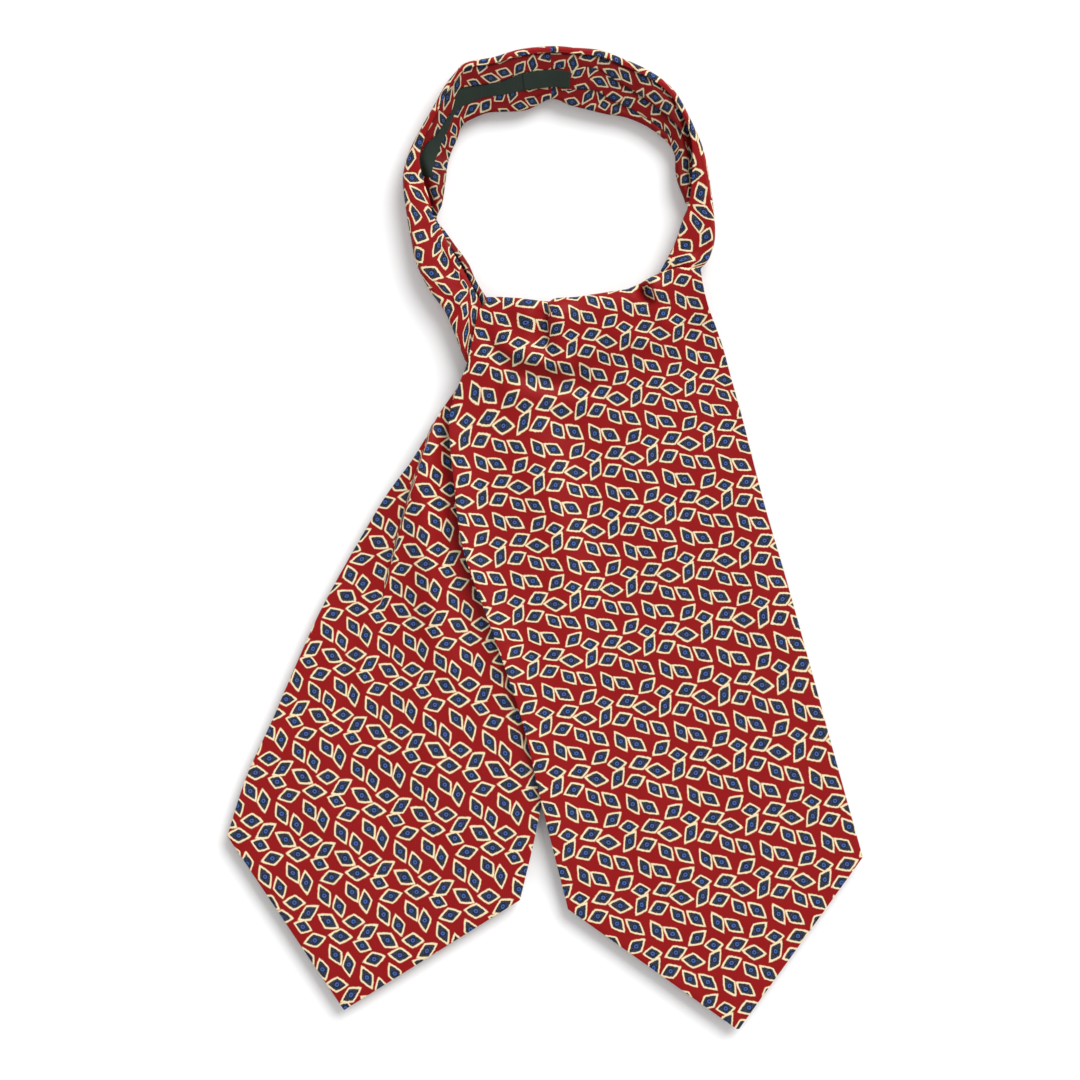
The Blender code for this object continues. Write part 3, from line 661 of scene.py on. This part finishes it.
class Shader:
    """A material and the nodes that it is made of."""

    def __init__(self, name):
        self.material = bpy.data.materials.new(name)
        self.material.use_nodes = True
        self.tree = self.material.node_tree
        self.surface = self.tree.nodes["Principled BSDF"]

    def node(self, kind, settings=None, inputs=None, output=0):
        """A node of a kind: its settings first, then the values or links of its sockets."""
        made = self.tree.nodes.new(kind)
        for name, value in (settings or {}).items():
            setattr(made, name, value)
        for key, value in (inputs or {}).items():
            if isinstance(value, Value):
                self.tree.links.new(value.socket, made.inputs[key])
            else:
                made.inputs[key].default_value = value
        return Value(self, made.outputs[output])

    def mix(self, share, first, second):
        """A colour between two."""
        def colour(value):
            return value if isinstance(value, Value) else (*value, 1.0)
        return self.node(
            "ShaderNodeMix", {"data_type": "RGBA"},
            {0: share, 6: colour(first), 7: colour(second)}, 2)

    def vector(self, x, y):
        return self.node("ShaderNodeCombineXYZ", None, {0: x, 1: y})

    def cloth(self):
        """The piece's flat cloth coordinates, in millimetres."""
        spot = self.node("ShaderNodeUVMap", {"uv_map": "cloth"}).vector("SCALE")
        spot.socket.node.inputs["Scale"].default_value = 1 / MM
        return spot

    def noise(self, scale, detail, spot=None, output="Fac"):
        """Uneven grey or colour, read at a place, or at the object's own where none is given."""
        inputs = {"Scale": scale, "Detail": detail}
        if spot:
            inputs["Vector"] = spot
        return self.node("ShaderNodeTexNoise", None, inputs, output)

    def bump(self, height, strength, distance, below=None):
        """A surface raised by height, on top of another bump."""
        inputs = {"Strength": strength, "Distance": distance, "Height": height}
        if below:
            inputs["Normal"] = below
        return self.node("ShaderNodeBump", None, inputs)

    def set(self, **values):
        """Values of the surface's own sockets."""
        for name, value in values.items():
            self.surface.inputs[name.replace("_", " ")].default_value = value

    def link(self, name, value):
        self.tree.links.new(value.socket, self.surface.inputs[name])


def printed_silk(inside=False):
    """Silk twill printed with the lozenges, read from the piece's flat cloth coordinates. Inside the
    neckband every colour is darkened by a set share, as painted shade for the inner face's shadow."""
    name = "printed silk twill inside the band" if inside else "printed silk twill"
    if name in bpy.data.materials:
        return bpy.data.materials[name]
    look = bpy.context.scene.cravat_print
    # Painted shade: inside the neckband every colour of the print is darkened by this share.
    depth = look.painted_shade_inside if inside else 1.0
    red, cream, navy, grey, blue = (
        tuple(part * depth for part in colour)
        for colour in (look.ground, look.outline, look.core, look.speck, look.ring))
    shader = Shader(name)
    cloth = shader.cloth()
    wobble = shader.noise(0.55, 1.0, cloth, "Color")
    wobble = wobble.vector("SUBTRACT", (0.5, 0.5, 0.5)).vector("MULTIPLY", (0.5, 0.5, 0.0))
    spot = cloth.vector("ADD", wobble)

    # The cloth's place counted in repeats, so that each lozenge is found by one wrap.
    span = REPEAT_ACROSS[0] * REPEAT_DOWN[1] - REPEAT_ACROSS[1] * REPEAT_DOWN[0]
    per_across = (REPEAT_DOWN[1] / span, -REPEAT_DOWN[0] / span)
    per_down = (-REPEAT_ACROSS[1] / span, REPEAT_ACROSS[0] / span)
    counted = shader.vector(
        spot.vector("DOT_PRODUCT", (*per_across, 0.0)),
        spot.vector("DOT_PRODUCT", (*per_down, 0.0)))
    edges, middles = [], []
    for motif in MOTIFS:
        shift = tuple(-(motif.right * a + motif.up * b) for a, b in (per_across, per_down))
        here = counted.vector("ADD", (*shift, 0.0))
        here = here.vector("WRAP", (0.5, 0.5, 0.5), (-0.5, -0.5, -0.5))
        long_half = (motif.long_right * look.size, motif.long_up * look.size)
        short_half = (motif.short_right * look.size, motif.short_up * look.size)
        twist = long_half[0] * short_half[1] - long_half[1] * short_half[0]
        by_long = (short_half[1] / twist, -short_half[0] / twist)
        by_short = (-long_half[1] / twist, long_half[0] / twist)
        shares = []
        for axis in (by_long, by_short):
            parts = [a * axis[0] + b * axis[1] for a, b in (REPEAT_ACROSS, REPEAT_DOWN)]
            shares.append(here.vector("DOT_PRODUCT", (*parts, 0.0)))
        place = shader.vector(*shares).vector("ABSOLUTE")
        bowed = place.vector("POWER", (look.bulge, look.bulge, 1.0))
        edges.append(bowed.vector("DOT_PRODUCT", (1.0, 1.0, 0.0)))
        sizes = (math.hypot(*long_half), math.hypot(*short_half), 0.0)
        middles.append(place.vector("MULTIPLY", sizes).vector("LENGTH"))
    edge = reduce(Value.least, edges)
    middle = reduce(Value.least, middles)

    # Fine lines of the weave, which also fray the print's edges.
    twill = cloth.wave(5.1, 3.3)
    threads = cloth.wave(5.6, 2.6) * cloth.wave(2.4, -5.8)
    grain = shader.noise(1.5, 2.0, cloth)
    broad = shader.noise(0.045, 2.0, cloth)
    frayed = edge + threads * 0.055 + (grain - 0.5) * 0.08
    in_lozenge = 1 - frayed.step(0.96, 1.04)
    core_edge = look.core_share ** look.bulge
    in_core = 1 - frayed.step(core_edge - 0.03, core_edge + 0.03)

    # In the navy: dotted lines that follow the lozenge's sides, and a ring with a dark middle.
    frames = (edge * 27).sine()
    specks = (frames * 0.45 + threads * 0.9 + (grain - 0.5) * 1.2).step(-0.15, 0.75)
    specks = specks * (1 - frayed.step(core_edge - 0.17, core_edge - 0.06))
    ring = middle.step(0.38, 0.58) * (1 - middle.step(1.0, 1.25))
    halo = 1 - middle.step(1.45, 1.75)
    core = shader.mix(specks * (1 - halo), navy, grey)
    core = shader.mix(ring, core, blue)
    shade = 0.93 + 0.07 * twill + 0.16 * (broad - 0.5) + 0.30 * (grain - 0.5)
    ground = shader.mix(shade, (0.0, 0.0, 0.0), red)
    pale = 0.93 + 0.10 * threads + 0.20 * (grain - 0.5)
    outline = shader.mix(pale, tuple(part * 0.45 for part in cream), cream)
    colour = shader.mix(in_lozenge, ground, outline)
    colour = shader.mix(in_core, colour, core)
    shader.link("Base Color", colour)

    shader.link("Roughness", 0.50 + 0.10 * (broad - 0.5) - 0.05 * twill)
    weave = shader.bump(twill * 0.5 + grain * 0.6, 0.35, 0.00006)
    crumple = shader.noise(0.16, 2.5, cloth)
    shader.link("Normal", shader.bump(crumple, 0.5, 0.0006, weave))
    shader.set(Sheen_Weight=0.02, Sheen_Roughness=0.4, Specular_IOR_Level=0.10)
    shader.surface.inputs["Sheen Tint"].default_value = (1.0, 0.75, 0.7, 1.0)
    return shader.material


def woven_tape():
    """Dark green woven label with fine ribs across it and a plain face."""
    name = "woven label tape"
    if name in bpy.data.materials:
        return bpy.data.materials[name]
    look = bpy.context.scene.cravat_print
    shader = Shader(name)
    cloth = shader.cloth()
    ribs = cloth.wave(0.0, 14.0)
    threads = cloth.wave(15.0, 0.0)
    grain = shader.noise(1.2, 3.0, cloth)
    light = (ribs * threads).step(-0.2, 0.9) * 0.5 + (grain - 0.5) * 0.8
    bright = tuple(min(1.0, part * 2.1) for part in look.tape)
    shader.link("Base Color", shader.mix(light, look.tape, bright))
    shader.link("Roughness", 0.62 + 0.2 * (grain - 0.5))
    weave = ribs * 0.5 + threads * 0.3 + grain
    shader.link("Normal", shader.bump(weave, 0.5, 0.00008))
    shader.set(Sheen_Weight=0.05, Sheen_Roughness=0.5, Specular_IOR_Level=0.15)
    return shader.material


def front_sheet(cloth_sizes):
    """The front blade: from its tuck behind, over its rolled top edge and down to its point."""
    step = cloth_sizes.mesh_step / MM
    depth = cloth_sizes.fold_depth
    share = np.linspace(0, 1, 400)
    crowd = 1 + NOTCH_CROWD * np.exp(-((share - NOTCH_SHARE) / NOTCH_WIDTH) ** 2)
    crowd = np.concatenate([[0.0], np.cumsum(crowd)[:-1]])
    share = np.interp(np.linspace(0, 1, FRONT_COLUMNS), crowd / crowd[-1], share)
    names = [row.share for row in ROLL]
    sag, wide, high, opened = (
        np.interp(share, names, [getattr(row, name) for row in ROLL])
        for name in ("sag", "wide", "high", "opened"))

    # The roll, as turns from its underside round to its crest, and the tuck before it.
    top = read_rows(FRONT, 0.0)
    _, _, crest_z, _ = blade_surface(FRONT, FRONT_TIP, share, np.zeros_like(share))
    edge_x = top.left_x + (top.right_x - top.left_x) * share
    edge_y = top.left_y + (top.right_y - top.left_y) * share - sag
    rolled = []
    back = crest_z - high - LAID
    below = back + (0.25 - back) * opened
    for inward in np.linspace(ROLL_TUCK, 1.0, 4):
        reach = wide * (1 - opened) + inward * (1 - opened) + 0.15 * inward * opened
        rolled.append((reach, crest_z - high - below))
    for angle in np.arange(-80, 91, 10):
        turn = math.radians(angle)
        reach = wide * (1 - math.cos(turn))
        rise = np.where(angle < 0, below * math.sin(turn), high * math.sin(turn))
        reach = np.where(angle < 0, reach * (1 - 0.8 * opened), reach)
        rolled.append((reach, crest_z - high + rise))
    roll = np.array([
        np.stack([edge_x + 0.1 * reach, edge_y - reach, z], -1) for reach, z in rolled])

    last = len(FRONT) - 1
    fine = blade_places(FRONT, step * FINE_SHARE, BELOW_ROLL)
    fine = fine[fine < FINE_ROWS]
    coarse = blade_places(FRONT, step, FINE_ROWS)
    place = np.concatenate([fine, coarse])
    places = to_point(place, last, share)
    x, y, z, dip = blade_surface(FRONT, FRONT_TIP, share[None, :], places)
    y = y - sag[None, :] * dip
    # The first rows start where the roll ends, whatever its width.
    gap = roll[-1][None, :, 1] - y[:1]
    settle_in = np.exp(-((np.arange(len(place)) / 9.0) ** 2))[:, None]
    y = y + np.minimum(gap - 1.2, 0.0) * settle_in
    body = np.stack([x, y, z], -1)
    points = np.concatenate([roll, body])

    x, y = points[..., 0], points[..., 1]
    rise, move_x, move_y = crease(FRONT_FOLDS, x, y, depth)
    onto = np.ones(len(points))
    onto[:len(roll)] = np.linspace(0, 1, len(roll)) ** 2
    onto = onto[:, None]
    points[..., 2] += rise * onto + ripple(x, y, BLADE_RIPPLE) * onto
    points[..., 2] = np.maximum(points[..., 2], LAID)

    # Flat cloth: where the print lies, and behind the crest the length round the roll.
    flat_x = x + move_x
    flat_y = y + move_y
    crest = len(roll) - 1
    steps = np.linalg.norm(np.diff(points[:crest + 1], axis=0), axis=-1)
    behind = np.cumsum(steps[::-1], axis=0)[::-1]
    flat_x[:crest] = flat_x[crest]
    flat_y[:crest] = flat_y[crest] + behind
    cloth = lay_cloth(FRONT_START, FRONT_LAY, flat_x, flat_y)
    return points[::-1], cloth[::-1]


class CRAVAT_OT_front_blade(bpy.types.Operator):
    """Lay the front blade, which falls over the rolled top edge"""

    bl_idname = "cravat.front_blade"
    bl_label = "Front blade"

    def execute(self, context):
        sizes = context.scene.cravat_cloth
        points, cloth = front_sheet(sizes)
        piece = cloth_sheet("front_blade_silk", points, cloth, sizes.blade_wall, printed_silk())
        settle(piece, "front_blade")
        return {"FINISHED"}


class CRAVAT_OT_rear_blade(bpy.types.Operator):
    """Lay the rear blade, which comes out below the band"""

    bl_idname = "cravat.rear_blade"
    bl_label = "Rear blade"

    def execute(self, context):
        sizes = context.scene.cravat_cloth
        step = sizes.mesh_step / MM
        place = blade_places(REAR, step)
        last = len(REAR) - 1
        places = to_point(place, last, np.linspace(0, 1, REAR_COLUMNS))
        share = gathered(REAR, REAR_TIP, places, REAR_FOLDS[0], PLEAT_COLUMN)
        places = to_point(place, last, share)
        x, y, z, _ = blade_surface(REAR, REAR_TIP, share, places)
        rise, move_x, move_y = crease(REAR_FOLDS, x, y, sizes.fold_depth)
        z = np.maximum(z + rise + ripple(x, y, BLADE_RIPPLE), LAID)
        points = np.stack([x, y, z], -1)[::-1]
        cloth = lay_cloth(REAR_START, REAR_LAY, x + move_x, y + move_y)[::-1]
        piece = cloth_sheet("rear_blade_silk", points, cloth, sizes.blade_wall, printed_silk())
        settle(piece, "rear_blade")
        return {"FINISHED"}


def band_middle(place):
    """The band's middle line, at places along it."""
    row = read_rows(BAND, place)
    return (row.rim_x + row.hole_x) / 2, (row.rim_y + row.hole_y) / 2


class BandSection:
    """One section of the band, measured across from its outer rim."""

    def __init__(self, place):
        self.row = read_rows(BAND, place)
        self.rim = np.array([self.row.rim_x, self.row.rim_y])
        self.hole = np.array([self.row.hole_x, self.row.hole_y])
        self.width = float(np.linalg.norm(self.hole - self.rim))
        self.across = (self.hole - self.rim) / self.width
        spots = [hollow.place for hollow in HOLLOWS]
        self.hollow = Hollow(place, *(
            float(np.interp(place, spots, [getattr(hollow, name) for hollow in HOLLOWS]))
            for name in Hollow._fields[1:]))

    def top(self, across):
        """Height of the middle of the outer layer where it lies on top."""
        share = min(max(across / self.width, 0.0), 1.0)
        fall = (self.row.crest - self.row.lip) * share ** CREST_CURVE
        return self.row.crest - fall - 0.45

    def inner_top(self, across, dropped):
        """Height of the middle of the inner face, past the pleats that dropped counts."""
        share = across / self.width
        drop = self.row.step_a * dropped[0] + self.row.step_b * dropped[1]
        closing = soft_step((share - STEP_CLOSES_FROM) / (1 - STEP_CLOSES_FROM))
        drop *= 1 - (1 - LEAST_STEP) * closing
        beyond = max(across - self.row.lap - 0.6, 0.0)
        sunk = math.exp(-(beyond / self.hollow.reach) ** 2)
        drop += self.hollow.depth * sunk - self.hollow.rise * (1 - sunk)
        return max(self.top(across) - LAYER_DROP - drop, LOWEST_INNER)

    def points(self, section):
        """Points in the frame from pairs of distance across and height."""
        section = np.array(section, float)
        spots = self.rim + section[:, :1] * self.across
        return np.concatenate([spots, section[:, 1:2]], axis=1)


def outer_section(place, half):
    """The outer layer: along the floor, round the rim and over to the end of its lap."""
    part = BandSection(place)
    closed = float(soft_step(place - (OUTER_CLOSED_FROM - 1)))
    foot = part.width - FOOT_INSET + 2.0 * closed
    crest = part.top(0.0)
    round_by = min(RIM_ROUND, (crest - half) / 2)
    section = [(across, half) for across in np.linspace(foot, half + round_by, 5)]
    middle = (crest + half) / 2
    for angle in range(-75, 90, 15):
        turn = math.radians(angle)
        across = half + round_by * (1 - math.cos(turn))
        section.append((across, middle + (crest - half) / 2 * math.sin(turn)))
    start = half + round_by
    lap = max(min(part.row.lap, part.width - LAP_MARGIN), start + 0.3)
    for across in np.linspace(start, lap, 16):
        settle_top = part.top(across) - 0.25 * math.exp(-((across - start) / 1.2) ** 2)
        section.append((across, settle_top))
    end = part.top(lap)
    curl = 0.45 + 1.1 * closed
    for angle in (60, 25, -10, -45):
        turn = math.radians(angle)
        section.append((lap + curl * math.cos(turn), end - curl * (1 - math.sin(turn))))
    if closed > 0:
        section.append((lap + curl * 0.9, end - curl * 1.7 - 1.4 * closed))
    else:
        section.append((lap + curl * 0.3, end - curl * 1.85))
    return part, section, []


def inner_section(place, half):
    """The inner face: from below the lap, over its pleats' edges and round the neck side."""
    part = BandSection(place)
    bend = part.width - NECK_ROUND
    fold_a = part.row.fold_a * part.width
    fold_b = min(part.row.fold_b * part.width, bend - 1.5)
    section = []
    stops = [
        (INNER_START, fold_a, (0, 0), 7), (fold_a, fold_b, (1, 0), 9), (fold_b, bend, (1, 1), 5)]
    takes = []
    for number, (start, end, dropped, count) in enumerate(stops):
        last = number == len(stops) - 1
        drop = (part.row.step_a, part.row.step_b, 0.0)[number]
        before = (0.0, part.row.step_a, part.row.step_b)[number]
        under = 0.5 * min(max(before, 0.0) / 0.6, 1.0)
        begin = start - under + 0.05 if number else start
        for across in np.linspace(begin, end if last else end - 0.35, count):
            section.append((across, part.inner_top(across, dropped)))
        if not last:
            high = part.inner_top(end, dropped)
            edge = 0.55 * min(max(drop, 0.0) / 0.6, 1.0)
            section += [(end + out * edge, high - down * drop) for out, down in PLEAT_EDGE]
            takes.append((len(section) - 1, PLEAT_TAKE * edge))
    lip = part.inner_top(bend, (1, 1))
    for angle in range(70, -91, -20):
        turn = math.radians(angle)
        middle = (lip + half) / 2
        across = bend + (part.width - half - bend) * math.cos(turn)
        section.append((across, middle + (lip - half) / 2 * math.sin(turn)))
    section.append((part.width - 3.6, half))
    return part, section, takes


def band_sheet(build_section, first, last, sizes, turn, drawn_up):
    """Points and flat cloth of a stretch of the band, whose print is turned and drawn up."""
    half = sizes.band_wall / MM / 2
    places, distances = stations(band_middle, first, last, sizes.mesh_step / MM * 0.85)
    points, cloth = [], []
    for place, distance in zip(places, distances):
        part, section, takes = build_section(place, half)
        points.append(part.points(section))
        steps = np.linalg.norm(np.diff(np.array(section), axis=0), axis=1)
        across = np.concatenate([[0.0], np.cumsum(steps)])
        for index, take in takes:
            across[index:] += take
        cloth.append(np.stack([across, np.full(len(section), distance)], -1))
    points = np.array(points)
    cloth = np.array(cloth)
    flat_x, flat_y = turned(cloth[..., 0] * drawn_up, cloth[..., 1] * drawn_up, turn)
    return points, np.stack([flat_x, flat_y], -1)


def crumple_band(points, cloth, folds, depth):
    """Creases on the part of a band that faces up."""
    across = np.gradient(points, axis=1)
    along = np.gradient(points, axis=0)
    normal = np.cross(across, along)
    up = normal[..., 2] / np.maximum(np.linalg.norm(normal, axis=-1), 1e-9)
    up = np.clip(up * 1.4 - 0.3, 0.0, 1.0)
    x, y = points[..., 0], points[..., 1]
    rise, move_x, move_y = crease(folds, x, y, depth)
    points[..., 2] += (rise + ripple(x * 1.6, y * 1.6, BAND_RIPPLE)) * up
    cloth[..., 0] += move_x
    cloth[..., 1] += move_y
    return points, cloth


class CRAVAT_OT_neckband(bpy.types.Operator):
    """Fold the neckband: its outer layer and its pleated inner face, left and right half"""

    bl_idname = "cravat.neckband"
    bl_label = "Neckband"

    def execute(self, context):
        sizes = context.scene.cravat_cloth
        last = len(BAND) - 1
        stretches = [
            ("neckband_outer_left", outer_section, 0.0, CENTRE_BACK, 75, 1.12, (0.042, 0.200)),
            ("neckband_outer_right", outer_section, CENTRE_BACK, last, 72, 1.0, (0.042, 0.160)),
            ("neckband_inner_left", inner_section, 0.0, CENTRE_BACK, 78, 1.25, (0.031, 0.200)),
            ("neckband_inner_right", inner_section, CENTRE_BACK, INNER_RIGHT_END, 70, 1.2,
             (0.036, 0.115)),
        ]
        for name, build_section, first, end, turn, drawn_up, flat in stretches:
            points, cloth = band_sheet(build_section, first, end, sizes, turn, drawn_up)
            points, cloth = crumple_band(points, cloth, BAND_FOLDS, sizes.fold_depth)
            # The inner face gets the printed silk with painted shade.
            silk = printed_silk("inner" in name)
            piece = cloth_sheet(name + "_silk", points, cloth, sizes.band_wall, silk)
            settle(piece, name)
        return {"FINISHED"}


class CRAVAT_OT_labels(bpy.types.Operator):
    """Sew the two bare woven labels on the inner face"""

    bl_idname = "cravat.labels"
    bl_label = "Woven labels"

    def execute(self, context):
        sizes = context.scene.cravat_cloth
        tapes = [
            ("label_name", NAME_TAPE, TAPE_LIFT, (0.010, 0.080)),
            ("label_fibre", FIBRE_TAPE, FIBRE_LIFT, (0.010, 0.026)),
        ]
        for name, (first, end), lift, flat in tapes:
            places, distances = stations(band_middle, first, end, TAPE_STEP)
            points, cloth = [], []
            for place, distance in zip(places, distances):
                part = BandSection(place)
                low = (part.row.tape_a + TAPE_INSET) * part.width
                high = part.row.tape_b * part.width
                across = np.linspace(low, high, TAPE_COLUMNS)
                section = [(spot, part.inner_top(spot, (1, 0)) + lift) for spot in across]
                points.append(part.points(section))
                cloth.append(np.stack([across, np.full(TAPE_COLUMNS, distance)], -1))
            points = np.array(points)
            x, y = points[..., 0], points[..., 1]
            points[..., 2] += ripple(x * 2.2, y * 2.2, TAPE_RIPPLE)
            piece = cloth_sheet(
                name + "_tape", points, np.array(cloth), sizes.tape_wall, woven_tape())
            settle(piece, name)
        return {"FINISHED"}


class CRAVAT_OT_crossing(bpy.types.Operator):
    """Fill the hidden layers where the two ends cross"""

    bl_idname = "cravat.crossing"
    bl_label = "Crossing layers"

    def execute(self, context):
        sizes = context.scene.cravat_cloth
        places = np.linspace(0, len(CROSSING) - 1, 70)
        row = read_rows(CROSSING, places)
        turn = np.radians(np.linspace(180, 0, 33))[None, :]
        middle = ((row.low_y + row.high_y) / 2)[:, None]
        half = ((row.high_y - row.low_y) / 2)[:, None]
        y = middle - half * np.cos(turn)
        layers = 1 + 0.05 * np.sin(6 * turn)
        z = np.maximum(row.height[:, None] * np.sin(turn) ** 0.6 * layers - 0.4, 0.4)
        x = np.repeat(row.x[:, None], turn.size, axis=1)
        points = np.stack([x, y, z], -1)
        points = np.swapaxes(points, 0, 1)[::-1]
        cloth = np.stack([points[..., 0], points[..., 1] * 1.6], -1)
        piece = cloth_sheet("crossing_silk", points, cloth, sizes.band_wall, printed_silk())
        settle(piece, "crossing")
        return {"FINISHED"}


class CRAVAT_OT_stage(bpy.types.Operator):
    """Set the floor, the soft light from the upper right and the camera above. The cravat lies on
    clear glass, which isn't built, so the floor is a little lower"""

    bl_idname = "cravat.stage"
    bl_label = "Stage"

    def execute(self, context):
        scene = context.scene
        studio = scene.cravat_studio
        bpy.ops.object.select_all(action="DESELECT")
        bpy.ops.mesh.primitive_grid_add(
            x_subdivisions=8, y_subdivisions=8, size=12, location=(0, 0, -studio.floor_depth))
        floor = context.object
        floor.name = "floor"
        shader = Shader("pale floor")
        noise = shader.noise(3.0, 2.0)
        darker = tuple(part * 0.99 for part in studio.floor_colour)
        shader.link("Base Color", shader.mix(noise, darker, tuple(studio.floor_colour)))
        shader.set(Roughness=0.9, Specular_IOR_Level=0.1)
        floor.data.materials.append(shader.material)

        world = bpy.data.worlds.new("studio")
        world.use_nodes = True
        even = world.node_tree.nodes["Background"].inputs
        even["Color"].default_value = (1, 1, 1, 1)
        even["Strength"].default_value = studio.fill_strength
        scene.world = world
        bpy.ops.object.light_add(type="SUN", location=(0.6, 0.9, 1.2))
        key = context.object
        key.name = "key light"
        key.data.energy = studio.key_power
        key.data.angle = studio.key_spread
        key.rotation_euler = Vector(KEY_FROM).to_track_quat("Z", "Y").to_euler()

        bpy.ops.object.camera_add(location=(*VIEW_MIDDLE, studio.view_height))
        camera = context.object
        camera.name = "view from above"
        camera.data.sensor_width = FILM_WIDTH
        camera.data.lens = FILM_WIDTH * studio.view_height / studio.view_width
        camera.data.clip_end = 50
        scene.camera = camera
        scene.view_settings.view_transform = "Standard"
        return {"FINISHED"}


class CRAVAT_PT_panel(bpy.types.Panel):
    """Sizes, colours and pieces of the cravat"""

    bl_idname = "CRAVAT_PT_panel"
    bl_label = "Silk Cravat"
    bl_space_type = "VIEW_3D"
    bl_region_type = "UI"
    bl_category = "Cravat"

    def draw(self, context):
        for group in (context.scene.cravat_cloth, context.scene.cravat_print,
                      context.scene.cravat_studio):
            for name in group.__annotations__:
                self.layout.prop(group, name)
        for operator in OPERATORS:
            self.layout.operator(operator.bl_idname)


GROUPS = {"cravat_cloth": CravatCloth, "cravat_print": CravatPrint, "cravat_studio": CravatStudio}
OPERATORS = [
    CRAVAT_OT_stage,
    CRAVAT_OT_rear_blade,
    CRAVAT_OT_neckband,
    CRAVAT_OT_labels,
    CRAVAT_OT_crossing,
    CRAVAT_OT_front_blade,
]


def register():
    for group in (*GROUPS.values(), *OPERATORS, CRAVAT_PT_panel):
        bpy.utils.register_class(group)
    for name, group in GROUPS.items():
        setattr(bpy.types.Scene, name, PointerProperty(type=group))


def unregister():
    for name in GROUPS:
        delattr(bpy.types.Scene, name)
    for group in (CRAVAT_PT_panel, *reversed(OPERATORS), *GROUPS.values()):
        bpy.utils.unregister_class(group)


def main():
    register()
    bpy.ops.object.select_all(action="DESELECT")
    for operator in OPERATORS:
        group, name = operator.bl_idname.split(".")
        getattr(getattr(bpy.ops, group), name)()


if __name__ == "__main__":
    main()
